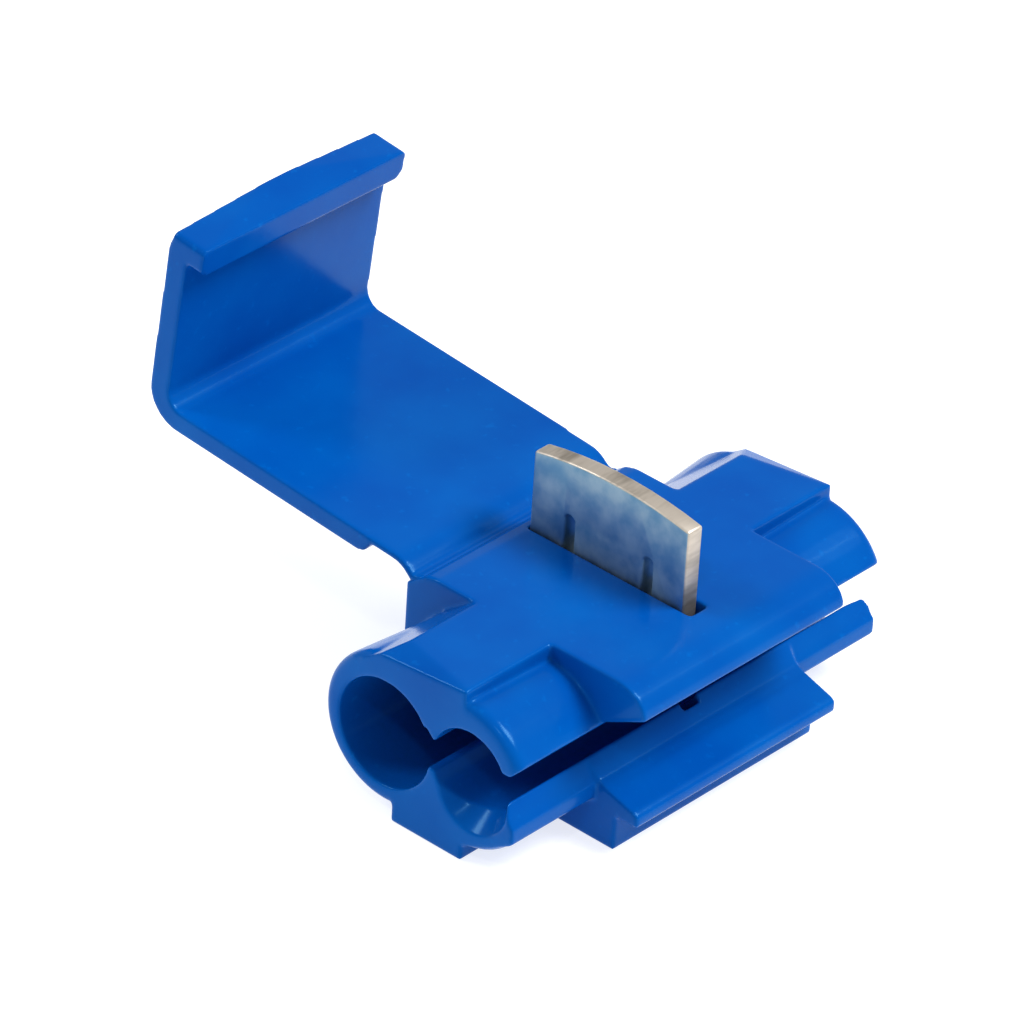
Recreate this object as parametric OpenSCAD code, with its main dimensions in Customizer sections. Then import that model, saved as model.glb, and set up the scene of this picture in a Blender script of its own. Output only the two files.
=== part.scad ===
// Quick-splice tap connector: a moulded housing with two wire channels,
// a hinged cover with a latch lip, and one flat contact blade.
// X runs along the wires, +Y points to the hinge, +Z is up, and z = 0 is the underside.

/* [Channels] */
// Overall length along the wires
body_len = 20; // [18:0.5:24]
// Radius of the closed tap channel, left
tap_r = 2.2; // [2:0.05:2.25]
// Distance of the tap channel from the middle
tap_y = 1.85; // [1.8:0.05:2]
// Thickness of the housing over the tap channel
roof_t = 1.5; // [1.3:0.05:1.7]
// Radius of the open run channel, right
run_r = 1.75; // [1.6:0.05:1.8]
// Distance of the run channel from the middle
run_y = 2.25; // [2.2:0.05:2.4]
// How much higher the run channel's axis lies than the tap channel's
run_rise = 0.3; // [0.2:0.05:0.4]
// Thickness of the stop wall that closes the tap channel's far end
stop_wall = 1.2; // [0.8:0.1:2]
// Height of the passage between the two channels
passage_h = 1.2; // [0.8:0.05:1.4]
// Length of the flares at the run channel's mouths
flare_len = 1.5; // [1:0.1:1.8]

/* [Housing] */
// Height of the housing
body_h = 7.25; // [7.1:0.05:8]
// Length of the middle block along the wires
block_len = 11; // [10:0.1:13]
// Distance of the hinge side's wall from the middle
hinge_wall_y = 5.1; // [5:0.05:5.4]
// Reach of both noses on the open side, from the middle
nose_y = 6.53; // [6.3:0.01:6.9]
// Distance of the wall under the lower nose from the middle
foot_y = 5.5; // [5.3:0.05:5.6]
// Height of the nose that the cover's lip snaps under
nose_t = 0.6; // [0.5:0.05:0.7]
// Mean wall thickness round the tap channel at its mouth
shell_t = 0.88; // [0.8:0.01:0.98]
// How much thinner that wall is where it meets the block
shell_draft = 0.4; // [0.1:0.02:0.44]
// Height of the raised strip above the channel shells
strip_step = 0.5; // [0.4:0.05:0.6]
// Radius of the block's long edges
edge_r = 0.5; // [0.3:0.05:0.6]
// Radius of the rims at the mouths
rim_r = 0.4; // [0.2:0.02:0.5]

/* [Cover] */
// Width of the cover along the wires
cover_w = 10.85; // [9.5:0.05:12]
// Thickness of the cover's plate
plate_t = 0.84; // [0.6:0.02:1]
// Thickness of the cover's end wall
wall_t = 0.95; // [0.7:0.05:1.1]
// Outer radius of the bend between the cover's plate and its end wall
bend_r = 1.5; // [1.1:0.05:1.7]
// Inner radius of that bend
inner_bend_r = 0.7; // [0.3:0.05:0.9]
// Angle by which the end wall leans in over the plate
wall_lean = 1.7; // [0:0.1:2.5]
// Angle by which the open cover stands above level
open_tilt = 4.6; // [0:0.1:12]
// Thickness of the hinge strap
strap_t = 0.3; // [0.25:0.05:0.4]
// How far the latch lip reaches in under the lower nose
lip_reach = 0.78; // [0.5:0.02:0.85]
// Height of the latch lip at its ends
lip_h = 1.2; // [1:0.02:1.3]
// Extra height at the middle of the lip's crest
lip_crest = 0.27; // [0.1:0.01:0.4]
// Gap between the shut cover and the housing
cover_gap = 0.06; // [0.04:0.01:0.1]
// Play between the shut lip and the lower nose
lip_play = 0.4; // [0.1:0.05:0.5]

/* [Blade] */
// Width of the contact blade across both channels
blade_w = 7.5; // [7:0.1:7.6]
// Thickness of the contact blade
blade_t = 0.8; // [0.6:0.02:0.9]
// Height of the contact blade at its middle
blade_h = 5.1; // [4.8:0.05:5.1]
// Rise of the blade's arched top
blade_arch = 0.4; // [0.2:0.02:0.6]
// Width of the slots that grip the conductors
grip_w = 0.45; // [0.3:0.05:0.7]
// Length of those slots
grip_len = 2.75; // [2.5:0.05:3]
// Gap at the blade's faces in its slot
blade_gap = 0.05; // [0.03:0.01:0.1]
// Gap at the blade's end on the open side
end_gap = 0.4; // [0.1:0.05:0.45]
// How far the blade stands above the housing before it is pressed
blade_proud = 3.7; // [3.5:0.05:3.7]

/* [Hidden] */
$fn = 64;
eps = 0.01;
arc_steps = 8;
rim_steps = 4;

// Places along and across the housing
mouth_x = body_len / 2;
block_x = block_len / 2;
tap_z = body_h - roof_t - tap_r;
run_z = tap_z + run_rise;
lobe_r = tap_r + shell_t;
lobe_z = body_h - strip_step - lobe_r;
lobe_left_y = tap_y - 0.1;
lobe_right_y = -run_y + 0.35;
jaw_draft = shell_draft / 2;
strip_left = tap_y - 0.2;
strip_right = run_y - 0.3;
shoulder_a = 60;
pad_left = tap_y - 0.55;
pad_right = run_y - 0.1;

// Places of the jaws round the run channel
jaw_y = run_y + run_r;
jaw_top_z = run_z + 0.8;
crest_z = run_z - 0.5;
lip_end_y = jaw_y + 0.52;
lip_top_z = crest_z - 0.7;
lip_low_z = lip_top_z - 0.75;

// Upper nose, which droops to nose_top_z, and lower nose, whose underside is the latch ledge
nose_w = 1.5;
nose_h = 1.15;
nose_top_z = body_h - nose_h;
ledge_z = crest_z - 1.9;

// Hinge: the strap is an arc that leaves the hinge wall and runs out flat into the plate
strap_root_a = 150;
strap_in_r = 1.03;
strap_out_r = strap_in_r + strap_t;
strap_rise = 0.06;
strap_c_y = hinge_wall_y - strap_in_r * cos(strap_root_a);
strap_c_z = body_h - strap_out_r + strap_rise;
plate_in_z = strap_c_z + strap_out_r / cos(open_tilt);
hinge_y = hinge_wall_y + 0.25;
plate_z_at_hinge = plate_in_z + (hinge_y - strap_c_y) * tan(open_tilt);
hinge_z = (body_h + cover_gap + plate_z_at_hinge * cos(open_tilt)) / (1 + cos(open_tilt));

// Cover, measured along and above the plate's inner face, from the hinge axis
plate_drop = (body_h + cover_gap) - hinge_z;
plate_start = 1.65;
ledge_depth = body_h + cover_gap - ledge_z;
wall_in = hinge_y + nose_y + cover_gap + ledge_depth * tan(wall_lean);
hook_up = ledge_depth + lip_play;
lip_set_in = 0.12;
rim_drop = 0.25;

// Blade at rest, standing in its slot with its tips just above the channels
blade_top_z = body_h + blade_proud;
tip_z = blade_top_z - blade_h;
pressed_floor_gap = 0.45;
slot_floor_z = tip_z - blade_proud - pressed_floor_gap;
grip_ys = [tap_y, -run_y + 0.3];

function arc(c, r, a0, a1, n = arc_steps) =
    [for (i = [0:n]) c + r * [cos(a0 + (a1 - a0) * i / n), sin(a0 + (a1 - a0) * i / n)]];

// Draws a (y, z) outline along X, centred
module along_x(len) {
    rotate([90, 0, 90]) linear_extrude(len, center = true) children();
}

// A round bar along X between two places
module bar_x(x0, x1, y, z, r0, r1) {
    translate([x0, y, z]) rotate([0, 90, 0]) cylinder(h = x1 - x0, r1 = r0, r2 = r1);
}

// Middle block: flat top, drooping nose on the open side, straight wall on the hinge side
module block_outline() {
    shoulder_w = 1.45;
    shoulder_h = 0.14;
    ramp_h = 0.72;
    heel_h = 0.9;
    polygon(concat(
        [[-foot_y, 0]],
        arc([hinge_wall_y - edge_r, edge_r], edge_r, -90, 0),
        [[hinge_wall_y, strap_c_z + strap_in_r * sin(strap_root_a)],
         [strap_c_y, strap_c_z] + strap_out_r * [cos(strap_root_a), sin(strap_root_a)],
         [hinge_wall_y - shoulder_w / 1.6, body_h - shoulder_h], [hinge_wall_y - shoulder_w, body_h]],
        [for (i = [0:arc_steps]) let (a = 90 + 90 * i / arc_steps)
            [-nose_y + nose_w + nose_w * cos(a), nose_top_z + nose_h * sin(a)]],
        [[-jaw_y - 0.62, jaw_top_z + 0.5], [-jaw_y - 0.2, jaw_top_z + 0.02], [-jaw_y, jaw_top_z],
         [-run_y, jaw_top_z], [-run_y, crest_z],
         [-jaw_y, crest_z], [-jaw_y - 0.6, crest_z - ramp_h], [-jaw_y - 1, crest_z - heel_h],
         [-nose_y + 0.2, ledge_z + nose_t], [-nose_y, ledge_z + nose_t - 0.15],
         [-nose_y, ledge_z], [-foot_y, ledge_z]]
    ));
}

// Strip on top of the snouts: square on the open side, sloping down to the round shell on the other
module strip_outline() {
    shoulder_r = lobe_r - shell_draft / 2;
    polygon([[-strip_right, lobe_z], [-strip_right, body_h], [strip_left, body_h],
             [lobe_left_y + shoulder_r * cos(shoulder_a), lobe_z + shoulder_r * sin(shoulder_a)],
             [lobe_left_y, lobe_z]]);
}

// What the snouts keep below the round shells: pads and the lower jaw's lip
module snout_fill_outline() {
    lip_foot_y = jaw_y - 0.4;
    lip_belly_h = 0.6;
    lip_corner = 0.15;
    translate([-pad_right, 0]) square([pad_left + pad_right, lobe_z]);
    polygon([[-pad_right + 0.4, 0.45], [-lip_foot_y, lip_low_z - lip_belly_h],
             [-lip_end_y + lip_corner, lip_low_z - lip_corner], [-lip_end_y, lip_low_z],
             [-lip_end_y, lip_top_z - lip_corner], [-lip_end_y + lip_corner, lip_top_z],
             [-jaw_y, crest_z], [-run_y, crest_z]]);
}

// The flared mouth through which the run wire is pushed in sideways
module jaw_opening_outline() {
    far = nose_y + 1;
    polygon([[-run_y, crest_z], [-jaw_y, crest_z], [-lip_end_y + 0.15, lip_top_z],
             [-lip_end_y, lip_top_z - 0.15], [-lip_end_y, -eps],
             [-far, -eps], [-far, body_h], [-jaw_y - 0.6, jaw_top_z + 0.45],
             [-jaw_y - 0.2, jaw_top_z + 0.02], [-jaw_y, jaw_top_z], [-run_y, jaw_top_z]]);
}

// Round shells of both snouts, widening from the block to their rounded rims at the mouths
module snout_shells() {
    for (side = [0, 1], lobe = [[lobe_left_y, shell_draft], [lobe_right_y, jaw_draft]])
        mirror([side, 0, 0]) translate([0, lobe[0], lobe_z]) rotate([0, 90, 0]) rotate_extrude()
            polygon(concat(
                [[0, block_x - 1], [lobe_r - lobe[1], block_x - 1]],
                arc([lobe_r - rim_r, mouth_x - rim_r], rim_r, 0, 90, rim_steps),
                [[0, mouth_x]]
            ));
}

// Cuts the strip's ends round, like the rims of the shells, and slopes their hinge side down to the mouths
module strip_ends() {
    end_r = rim_r / 3;
    slope = 21;
    slant = 13;
    reach = 4;
    for (side = [0, 1]) mirror([side, 0, 0]) {
        translate([0, 2 * nose_y, 0]) rotate([90, 0, 0]) linear_extrude(4 * nose_y) polygon(concat(
            arc([mouth_x - end_r, body_h - end_r], end_r, 90, 0, rim_steps),
            [[mouth_x + eps, body_h - end_r], [mouth_x + eps, body_h + eps], [mouth_x - end_r, body_h + eps]]
        ));
        translate([mouth_x - end_r, -strip_right - end_r, body_h]) rotate([0, slope, slant])
            translate([-reach / 2, -reach / 2, 0]) cube([reach, 3 * reach, reach]);
    }
}

module body() {
    color([0.02, 0.33, 0.75]) difference() {
        union() {
            difference() {
                union() {
                    snout_shells();
                    along_x(body_len) snout_fill_outline();
                    difference() {
                        along_x(body_len) strip_outline();
                        strip_ends();
                    }
                }
                along_x(body_len + 1) jaw_opening_outline();
            }
            along_x(block_len) block_outline();
        }
        tap_bore();
        run_channel();
        blade_slot();
    }
}

module tap_bore() {
    bar_x(-mouth_x - eps, mouth_x - stop_wall, tap_y, tap_z, tap_r, tap_r);
}

// Run channel with a flare low in each mouth, a round one at the far mouth,
// and the passage that joins it to the tap channel
module run_channel() {
    low_flare_r = run_r - 0.05;
    low_flare_drop = 0.75;
    flare_tip_r = 0.55;
    round_flare = 0.15;
    passage_right = -run_y + run_r - 0.35;
    passage_left = tap_y - tap_r + 0.4;
    passage_top = (tap_z + run_z) / 2 + 0.7;
    cusp_y = (passage_left + passage_right) / 2 - 0.12;
    cusp_w = 0.49;
    bar_x(-mouth_x - eps, mouth_x + eps, -run_y, run_z, run_r, run_r);
    for (side = [0, 1]) mirror([side, 0, 0])
        bar_x(mouth_x - flare_len, mouth_x + eps, -run_y - 0.25, run_z - low_flare_drop,
              flare_tip_r, low_flare_r);
    bar_x(mouth_x - flare_len, mouth_x + eps, -run_y, run_z, run_r - 0.05, run_r + round_flare);
    translate([-stop_wall / 2, 0, 0]) along_x(body_len - stop_wall + eps) polygon([
        [passage_right, passage_top - passage_h], [passage_left, passage_top - passage_h],
        [cusp_y + cusp_w, passage_top + cusp_w], [cusp_y, passage_top],
        [cusp_y - cusp_w, passage_top + cusp_w]]);
}

module blade_slot() {
    t = blade_t + 2 * blade_gap;
    translate([-t / 2, -blade_w / 2 - end_gap, slot_floor_z])
        cube([t, blade_w + blade_gap + end_gap, body_h]);
}

// Turns the cover's own directions, along and above the plate, into place at the open angle
module cover_place() {
    translate([0, hinge_y, hinge_z]) rotate([open_tilt, 0, 0]) translate([0, 0, -plate_drop])
        children();
}

module hinge_strap() {
    c = [strap_c_y, strap_c_z];
    end_a = 90 + open_tilt;
    outward = [cos(end_a), sin(end_a)];
    top_end = [hinge_y, hinge_z] + plate_start * [cos(open_tilt), sin(open_tilt)] - plate_drop * outward;
    color([0.03, 0.36, 0.78]) along_x(cover_w) polygon(concat(
        arc(c, strap_out_r, strap_root_a, end_a),
        [top_end, top_end - strap_t * outward],
        arc(c, strap_in_r, end_a, strap_root_a)
    ));
}

// A place out from the end wall's inner face and up along it, in the cover's own directions
function on_wall(out, up) =
    [wall_in + out * cos(wall_lean) - up * sin(wall_lean), out * sin(wall_lean) + up * cos(wall_lean)];

// Centre of a bend whose arc runs from the height z0 to a face this far out from the wall's inner face
function bend_centre(r, z0, out) =
    [wall_in + (out - (z0 + r) * sin(wall_lean) - r) / cos(wall_lean), z0 + r];

// Cover: the plate, thinner where it meets the strap, and the end wall bent up from it
module cover() {
    thick_from = plate_start + 0.6;
    wall_top = hook_up + lip_h - rim_drop;
    color([0.02, 0.33, 0.75]) cover_place() {
        along_x(cover_w) polygon(concat(
            [[plate_start, 0], [plate_start, -strap_t],
             [(plate_start + thick_from) / 2, -plate_t + 0.1], [thick_from, -plate_t]],
            arc(bend_centre(bend_r, -plate_t, wall_t), bend_r, -90, wall_lean),
            [on_wall(wall_t, hook_up + lip_h / 2), on_wall(wall_t - lip_set_in, wall_top),
             on_wall(0, wall_top)],
            arc(bend_centre(inner_bend_r, 0, 0), inner_bend_r, wall_lean, -90)
        ));
        translate([0, wall_in, 0]) rotate([wall_lean, 0, 0]) latch_lip();
    }
}

// Latch lip: a bar along the wall's free edge, whose top rises from a straight front edge
// to a crest at the middle of its back edge
module latch_lip() {
    lip_tip = -lip_reach;
    lip_back = wall_t - lip_set_in;
    half = cover_w / 2;
    crest_half_w = 0.4;
    corner = 0.3;
    intersection() {
        translate([0, lip_tip, hook_up]) rotate([90, 0, 0]) mirror([0, 0, 1])
            linear_extrude(lip_back - lip_tip) polygon([
                [-half, corner], [-half + corner, 0], [half - corner, 0], [half, corner],
                [half, lip_h - corner / 2], [half - corner / 2, lip_h],
                [crest_half_w, lip_h + lip_crest], [-crest_half_w, lip_h + lip_crest],
                [-half + corner / 2, lip_h], [-half, lip_h - corner / 2]]);
        translate([0, 0, hook_up]) along_x(cover_w) polygon([
            [lip_tip, 0], [lip_back, 0], [lip_back, lip_h + lip_crest], [lip_tip, lip_h]]);
    }
}

// Contact blade: one flat stamping with an arched top and two slots that grip the conductors
module contact_blade() {
    half = blade_w / 2;
    lead_half_w = 0.55;
    lead_h = 0.9;
    notch_half_w = 0.5;
    notch_h = 0.6;
    grip_r = grip_w / 2;
    arch_r = (half * half + blade_arch * blade_arch) / (2 * blade_arch);
    color([0.72, 0.72, 0.7]) along_x(blade_t) difference() {
        intersection() {
            translate([-half, tip_z]) square([blade_w, blade_h]);
            translate([0, blade_top_z - arch_r]) circle(arch_r, $fn = 720);
        }
        for (y = grip_ys) translate([y, tip_z]) {
            translate([-grip_r, -eps]) square([grip_w, grip_len - grip_r]);
            translate([0, grip_len - grip_r]) circle(grip_r, $fn = 32);
            polygon([[-lead_half_w, -eps], [lead_half_w, -eps], [grip_r, lead_h], [-grip_r, lead_h]]);
        }
        polygon([[-notch_half_w, tip_z - eps], [notch_half_w, tip_z - eps], [0, tip_z + notch_h]]);
    }
}

body();
hinge_strap();
cover();
contact_blade();
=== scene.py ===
import math

import bpy
from mathutils import Matrix, Vector


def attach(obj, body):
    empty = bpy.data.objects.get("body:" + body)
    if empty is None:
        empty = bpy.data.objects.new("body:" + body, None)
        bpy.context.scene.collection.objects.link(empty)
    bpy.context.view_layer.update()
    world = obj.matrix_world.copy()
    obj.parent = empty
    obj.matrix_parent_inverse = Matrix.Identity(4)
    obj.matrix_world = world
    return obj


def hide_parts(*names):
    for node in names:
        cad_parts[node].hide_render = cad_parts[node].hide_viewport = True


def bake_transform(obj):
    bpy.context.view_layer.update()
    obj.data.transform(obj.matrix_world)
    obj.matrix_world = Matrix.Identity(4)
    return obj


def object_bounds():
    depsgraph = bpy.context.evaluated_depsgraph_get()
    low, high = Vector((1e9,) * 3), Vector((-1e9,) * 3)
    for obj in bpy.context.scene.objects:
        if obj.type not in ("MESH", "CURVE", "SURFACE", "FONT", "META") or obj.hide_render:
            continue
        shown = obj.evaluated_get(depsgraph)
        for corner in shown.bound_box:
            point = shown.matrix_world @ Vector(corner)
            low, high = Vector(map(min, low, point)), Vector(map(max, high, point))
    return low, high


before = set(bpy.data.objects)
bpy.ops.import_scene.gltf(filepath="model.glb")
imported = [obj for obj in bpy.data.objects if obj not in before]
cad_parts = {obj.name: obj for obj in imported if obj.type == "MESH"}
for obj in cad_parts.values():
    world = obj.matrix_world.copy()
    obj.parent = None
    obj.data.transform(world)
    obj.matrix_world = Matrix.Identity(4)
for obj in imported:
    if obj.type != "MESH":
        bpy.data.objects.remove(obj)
cad_low, cad_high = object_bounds()

MM = 0.001

# Camera: the photograph's viewing angle, with its distance, its aim and the length of its lens
CAMERA_AZIMUTH = math.radians(-49.691)
CAMERA_ELEVATION = math.radians(33.077)
CAMERA_ROLL = math.radians(3.755)
CAMERA_DISTANCE = 316.35 * MM
CAMERA_AIM_HEIGHT = 5 * MM
CAMERA_SIDEWAYS = 3.542 * MM
CAMERA_UPWARDS = -3.771 * MM
CAMERA_LENS = 304.8
SENSOR_WIDTH = 36

# Moulding: size of its skin's squares, and how often and how strongly its edges are smoothed
SKIN_SIZE = 0.06 * MM
SMOOTHING_PASSES = 14
SMOOTHING = 0.5

# Share of the skin's faces that stay, on the body and on the cover
BODY_FACES_KEPT = 0.16
COVER_FACES_KEPT = 0.18

# Cover: how far its plate stands above level
COVER_TILT = math.radians(4.6)

# Hinge strap: it bends between these distances from the middle, and its root reaches into the body
STRAP_ROOT_Y = 5.15 * MM
STRAP_END_Y = 7.1 * MM
STRAP_ROWS = 15
STRAP_SMOOTHING_PASSES = 30
STRAP_ROOT_SHIFT = (0, -0.5 * MM, 0.33 * MM)
STRAP_HEEL_SHIFT = (0, -0.3 * MM, -0.2 * MM)

# Contact blade: the worn corners that the press tool leaves
BLADE_EDGE_RADIUS = 0.11 * MM


def select_only(piece):
    """Leaves this piece alone selected and active."""
    bpy.ops.object.select_all(action="DESELECT")
    piece.select_set(True)
    bpy.context.view_layer.objects.active = piece


def merged_copy(name, *nodes):
    """One new piece with the shapes of these CAD nodes, its doubled corners merged."""
    copies = []
    for node in nodes:
        piece = bpy.data.objects.new(name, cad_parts[node].data.copy())
        bpy.context.scene.collection.objects.link(piece)
        copies.append(piece)
    select_only(copies[0])
    for piece in copies:
        piece.select_set(True)
    if len(copies) > 1:
        bpy.ops.object.join()
    piece = bpy.context.view_layer.objects.active
    piece.name = name
    bpy.ops.object.mode_set(mode="EDIT")
    bpy.ops.mesh.select_all(action="SELECT")
    bpy.ops.mesh.remove_doubles(threshold=0.002 * MM)
    bpy.ops.object.mode_set(mode="OBJECT")
    piece.data.materials.clear()
    return piece


def add_modifier(piece, kind, **settings):
    """Adds a modifier with these settings and applies it."""
    select_only(piece)
    modifier = piece.modifiers.new(kind.lower(), kind)
    for setting, value in settings.items():
        setattr(modifier, setting, value)
    bpy.ops.object.modifier_apply(modifier=modifier.name)


def copied(piece):
    """A second piece with a copy of this one's mesh."""
    twin = bpy.data.objects.new(piece.name + "_copy", piece.data.copy())
    bpy.context.scene.collection.objects.link(twin)
    return twin


def smooth_skin(piece, tilt=0):
    """Gives the piece a fine skin of squares that lie at this tilt, with every edge rounded a little."""
    piece.data.transform(Matrix.Rotation(-tilt, 4, "X"))
    add_modifier(piece, "REMESH", mode="VOXEL", voxel_size=SKIN_SIZE, adaptivity=0)
    add_modifier(piece, "SMOOTH", factor=SMOOTHING, iterations=SMOOTHING_PASSES)
    piece.data.transform(Matrix.Rotation(tilt, 4, "X"))
    bpy.ops.object.shade_smooth()


def thinned(piece, kept, rows=(), mapping="NEAREST_POLYNOR"):
    """Keeps this share of the faces, cuts rows of points across at these Y, and keeps the fine skin's shading."""
    fine = copied(piece)
    add_modifier(piece, "DECIMATE", ratio=kept)
    for row in rows:
        cut_row(piece, row)
    bpy.ops.object.shade_smooth()
    add_modifier(piece, "DATA_TRANSFER", object=fine, use_loop_data=True,
                 data_types_loops={"CUSTOM_NORMAL"}, loop_mapping=mapping)
    bpy.data.objects.remove(fine)


def cut_row(piece, distance):
    """Adds a row of points where an upright plane, this far along Y, crosses the piece."""
    bpy.ops.object.mode_set(mode="EDIT")
    bpy.ops.mesh.select_all(action="SELECT")
    bpy.ops.mesh.bisect(plane_co=(0, distance, 0), plane_no=(0, 1, 0))
    bpy.ops.object.mode_set(mode="OBJECT")


def shift_points(piece, chosen, shift):
    """Moves the points that this test chooses, in the mesh."""
    select_only(piece)
    bpy.ops.object.mode_set(mode="EDIT")
    bpy.ops.mesh.select_all(action="DESELECT")
    bpy.ops.object.mode_set(mode="OBJECT")
    for point in piece.data.vertices:
        point.select = chosen(point.co)
    bpy.ops.object.mode_set(mode="EDIT")
    bpy.ops.transform.translate(value=shift)
    bpy.ops.object.mode_set(mode="OBJECT")


class Finish:
    """A material's node tree, with short ways to add its nodes."""

    def __init__(self, name):
        self.material = bpy.data.materials.new(name)
        self.material.use_nodes = True
        self.tree = self.material.node_tree
        self.shader = self.tree.nodes["Principled BSDF"]
        self.place = self.add("ShaderNodeTexCoord").outputs["Object"]

    def add(self, kind, **settings):
        node = self.tree.nodes.new(kind)
        for setting, value in settings.items():
            setattr(node, setting, value)
        return node

    def join(self, output, target):
        self.tree.links.new(output, target)

    def stretched(self, scale):
        """Object coordinates, stretched by this much along each axis."""
        mapping = self.add("ShaderNodeMapping")
        mapping.inputs["Scale"].default_value = scale
        self.join(self.place, mapping.inputs["Vector"])
        return mapping.outputs["Vector"]

    def noise(self, scale, detail, roughness=0.5, where=None):
        node = self.add("ShaderNodeTexNoise")
        node.inputs["Scale"].default_value = scale
        node.inputs["Detail"].default_value = detail
        node.inputs["Roughness"].default_value = roughness
        self.join(where or self.place, node.inputs["Vector"])
        return node.outputs["Fac"]

    def ramp(self, value, *stops):
        """Turns a value into colours, from (position, colour) stops."""
        node = self.add("ShaderNodeValToRGB")
        elements = node.color_ramp.elements
        node.color_ramp.interpolation = "EASE"
        elements[0].position, elements[0].color = stops[0]
        elements[1].position, elements[1].color = stops[-1]
        for position, colour in stops[1:-1]:
            elements.new(position).color = colour
        self.join(value, node.inputs["Fac"])
        return node.outputs["Color"]

    def span(self, value, low, high, from_low=0.3, from_high=0.7):
        """Spreads a value over the range from low to high."""
        node = self.add("ShaderNodeMapRange")
        node.inputs["From Min"].default_value = from_low
        node.inputs["From Max"].default_value = from_high
        node.inputs["To Min"].default_value = low
        node.inputs["To Max"].default_value = high
        node.interpolation_type = "SMOOTHSTEP"
        self.join(value, node.inputs["Value"])
        return node.outputs["Result"]

    def mixed(self, share, first, second, blend="MIX"):
        node = self.add("ShaderNodeMix", data_type="RGBA", blend_type=blend)
        self.fill(node.inputs["Factor"], share)
        self.fill(node.inputs[6], first)
        self.fill(node.inputs[7], second)
        return node.outputs[2]

    def fill(self, target, value):
        if isinstance(value, bpy.types.NodeSocket):
            self.join(value, target)
        else:
            target.default_value = value

    def bump(self, height, distance, strength=1.0):
        node = self.add("ShaderNodeBump")
        node.inputs["Strength"].default_value = strength
        node.inputs["Distance"].default_value = distance
        self.join(height, node.inputs["Height"])
        return node.outputs["Normal"]

    def set(self, **values):
        for name, value in values.items():
            self.fill(self.shader.inputs[name.replace("_", " ")], value)


def blue_polypropylene():
    """Glossy moulded plastic: a deep clear blue with faint flow marks and an orange-peel skin."""
    finish = Finish("blue_polypropylene")
    cloud = finish.noise(220, 3)
    speck = finish.noise(2600, 2)
    tint = finish.ramp(cloud, (0.1, (0.0, 0.076, 0.345, 1)), (0.9, (0.0, 0.116, 0.42, 1)))
    tint = finish.mixed(finish.span(speck, 0, 0.3, 0.62, 0.8), tint, (0.0, 0.16, 0.52, 1))
    finish.set(Base_Color=tint, Roughness=finish.span(cloud, 0.15, 0.24, 0.1, 0.9))
    finish.set(IOR=1.27, Specular_IOR_Level=0.5, Specular_Tint=(0.35, 0.8, 1.0, 1))
    finish.set(Normal=finish.bump(finish.noise(1500, 2), 0.012 * MM, 0.5))
    return finish.material


def tin_with_painted_reflection():
    """Satin tin over brass, with fine rolling lines and duller patches, its colour tinted blue as a painted
    reflection of the blue plastic.
    """
    finish = Finish("tin_with_painted_reflection")
    patches = finish.noise(760, 4)
    lines = finish.noise(900, 3, where=finish.stretched((1, 1, 0.08)))
    # Both ends of the ramp are tinted blue: a painted reflection of the blue plastic laid over the tin's own
    # patchy grey.
    tint = finish.ramp(patches, (0.3, (0.19, 0.36, 0.49, 1)), (0.7, (0.44, 0.57, 0.62, 1)))
    finish.set(Base_Color=tint, Roughness=finish.span(patches, 0.48, 0.62, 0.1, 0.9), Metallic=1.0)
    finish.set(Normal=finish.bump(lines, 0.01 * MM, 0.6))
    return finish.material


def sheared_brass():
    """The blade's cut top edge: pale metal with a hint of brass and the tear lines of the shear."""
    finish = Finish("sheared_brass")
    tears = finish.noise(700, 4, 0.6, finish.stretched((0.25, 1, 1)))
    tint = finish.ramp(tears, (0.32, (0.30, 0.27, 0.23, 1)), (0.55, (0.60, 0.54, 0.47, 1)),
                       (0.75, (0.72, 0.67, 0.60, 1)))
    finish.set(Base_Color=tint, Roughness=finish.span(tears, 0.55, 0.38), Metallic=0.75)
    finish.set(Normal=finish.bump(tears, 0.02 * MM, 0.7))
    return finish.material


def strap_and_cover():
    """Strap and cover in one shape. The strap's root is sunk into the body."""
    piece = merged_copy("cover", "hinge_strap", "cover")
    root = min(point.co.y for point in piece.data.vertices)
    shift_points(piece, lambda place: place.y < root + 0.01 * MM, STRAP_ROOT_SHIFT)
    heel = min(point.co.z for point in piece.data.vertices)
    shift_points(piece, lambda place: place.z < heel + 0.01 * MM, STRAP_HEEL_SHIFT)
    smooth_skin(piece, COVER_TILT)
    strap = piece.vertex_groups.new(name="strap")
    strap.add([point.index for point in piece.data.vertices if point.co.y < STRAP_END_Y], 1, "ADD")
    add_modifier(piece, "SMOOTH", factor=SMOOTHING, iterations=STRAP_SMOOTHING_PASSES, vertex_group="strap")
    piece.vertex_groups.clear()
    step = (STRAP_END_Y - STRAP_ROOT_Y) / STRAP_ROWS
    rows = [STRAP_ROOT_Y + step * row for row in range(STRAP_ROWS + 1)]
    thinned(piece, COVER_FACES_KEPT, rows, "POLYINTERP_NEAREST")
    return piece


def housing_with_cover(plastic):
    """Body, strap and cover in one piece, as they come from the mould, with rows of points across the strap and
    no seam showing.
    """
    piece = merged_copy("moulding", "body")
    smooth_skin(piece)
    thinned(piece, BODY_FACES_KEPT)
    cover = strap_and_cover()
    select_only(piece)
    cover.select_set(True)
    bpy.ops.object.join()
    piece.data.materials.append(plastic)
    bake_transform(piece)
    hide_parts("body", "hinge_strap", "cover")


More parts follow.
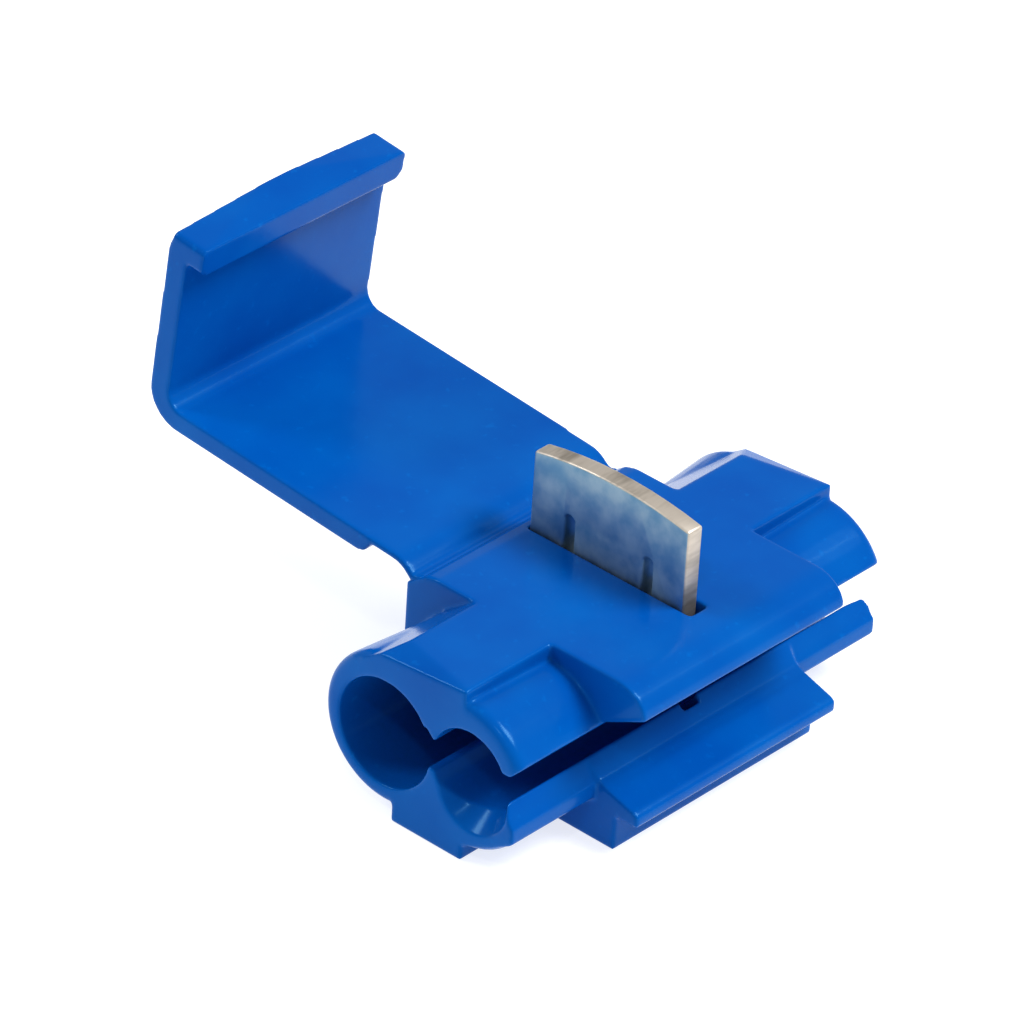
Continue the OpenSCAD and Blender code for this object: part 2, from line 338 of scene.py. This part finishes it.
def contact_blade(tin, brass):
    piece = merged_copy("blade", "contact_blade")
    select_only(piece)
    bpy.ops.object.mode_set(mode="EDIT")
    bpy.ops.mesh.select_all(action="SELECT")
    bpy.ops.mesh.dissolve_limited(angle_limit=math.radians(1))
    bpy.ops.object.mode_set(mode="OBJECT")
    add_modifier(piece, "BEVEL", width=BLADE_EDGE_RADIUS, segments=3, limit_method="ANGLE",
                 angle_limit=math.radians(40))
    # The tin material's blue is a painted reflection of the plastic, not the metal's own colour.
    piece.data.materials.append(tin)
    piece.data.materials.append(brass)
    ends = [point.co.y for point in piece.data.vertices]
    near_end, far_end = min(ends) + 2 * BLADE_EDGE_RADIUS, max(ends) - 2 * BLADE_EDGE_RADIUS
    for face in piece.data.polygons:
        cut = abs(face.normal.x) < 0.8
        outside = face.normal.z > 0.3 or not near_end < face.center.y < far_end
        face.material_index = 1 if cut and outside else 0
    select_only(piece)
    bpy.ops.object.shade_smooth_by_angle(angle=math.radians(30))
    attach(piece, "blade")
    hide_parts("contact_blade")


def pale_floor():
    bpy.ops.mesh.primitive_plane_add(size=3, location=(0, 0, cad_low.z))
    floor = bpy.context.object
    floor.name = "floor"
    finish = Finish("pale_floor")
    finish.set(Base_Color=(0.5, 0.5, 0.5, 1), Roughness=0.8)
    finish.set(Emission_Color=(1, 1, 1, 1), Emission_Strength=0.62)
    floor.data.materials.append(finish.material)


def soft_light(name, place, size, watts):
    """A square soft box that faces the part."""
    light = bpy.data.lights.new(name, "AREA")
    light.size = size
    light.energy = watts
    lamp = bpy.data.objects.new(name, light)
    bpy.context.scene.collection.objects.link(lamp)
    lamp.location = place
    lamp.rotation_euler = (-Vector(place)).to_track_quat("-Z", "Y").to_euler()


def studio():
    world = bpy.data.worlds.new("studio")
    world.use_nodes = True
    background = world.node_tree.nodes["Background"]
    background.inputs["Color"].default_value = (1, 1, 1, 1)
    background.inputs["Strength"].default_value = 0.42
    bpy.context.scene.world = world
    bpy.context.scene.view_settings.view_transform = "Standard"
    bpy.context.scene.view_settings.look = "Medium High Contrast"
    soft_light("key", (0.15, -0.20, 0.36), 0.18, 1.55)
    soft_light("front", (-0.22, -0.12, 0.33), 0.02, 0.12)
    soft_light("back", (-0.16, 0.28, 0.26), 0.10, 0.4)


def camera():
    """The camera stands where the photograph was taken from, as fitted to the object's outline."""
    data = bpy.data.cameras.new("camera")
    data.lens = CAMERA_LENS
    data.sensor_width = SENSOR_WIDTH
    data.clip_start = 0.01
    data.clip_end = 10
    level = Vector((math.cos(CAMERA_AZIMUTH), math.sin(CAMERA_AZIMUTH), 0))
    back = Vector((math.sin(CAMERA_AZIMUTH) * math.cos(CAMERA_ELEVATION),
                   -math.cos(CAMERA_AZIMUTH) * math.cos(CAMERA_ELEVATION),
                   math.sin(CAMERA_ELEVATION)))
    upright = back.cross(level)
    right = math.cos(CAMERA_ROLL) * level + math.sin(CAMERA_ROLL) * upright
    up = math.cos(CAMERA_ROLL) * upright - math.sin(CAMERA_ROLL) * level
    place = Vector((0, 0, CAMERA_AIM_HEIGHT)) + back * CAMERA_DISTANCE
    place -= right * CAMERA_SIDEWAYS + up * CAMERA_UPWARDS
    stand = bpy.data.objects.new("camera", data)
    bpy.context.scene.collection.objects.link(stand)
    stand.matrix_world = Matrix((right, up, back)).transposed().to_4x4()
    stand.location = place
    bpy.context.scene.camera = stand


plastic = blue_polypropylene()
housing_with_cover(plastic)
contact_blade(tin_with_painted_reflection(), sheared_brass())
pale_floor()
studio()
camera()
